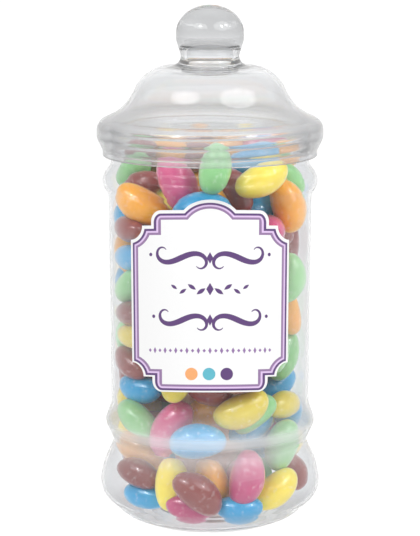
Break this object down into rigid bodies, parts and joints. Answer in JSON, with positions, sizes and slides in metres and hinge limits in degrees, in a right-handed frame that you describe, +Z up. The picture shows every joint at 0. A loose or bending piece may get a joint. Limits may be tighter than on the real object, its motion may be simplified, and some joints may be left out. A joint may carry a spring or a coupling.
{
  "type": "jar of jelly beans",
  "caption": "Tall clear plastic sweet jar with a domed, knobbed lid and a plaque-shaped label, filled with large jelly beans.",
  "frame": {"origin": "centre of the jar's foot, on the surface it stands on", "axes": "+Z up along the jar's axis, the label faces -Y, +X to the right of the label"},
  "size_m": [0.0946, 0.0946, 0.2168],
  "materials": {
    "clear_jar_plastic": "clear, thin blown plastic, polished",
    "clear_lid_plastic": "clear moulded plastic, polished, faintly grey",
    "printed_label": "satin white sticker with purple and lilac border lines",
    "candy_shell": "glossy, slightly see-through sugar shell in six fruit colours"
  },
  "bodies": {
    "root": {"jar": "clear_jar_plastic", "lid": "clear_lid_plastic", "label": "printed_label", "beans": "candy_shell"}
  },
  "joints": []
}
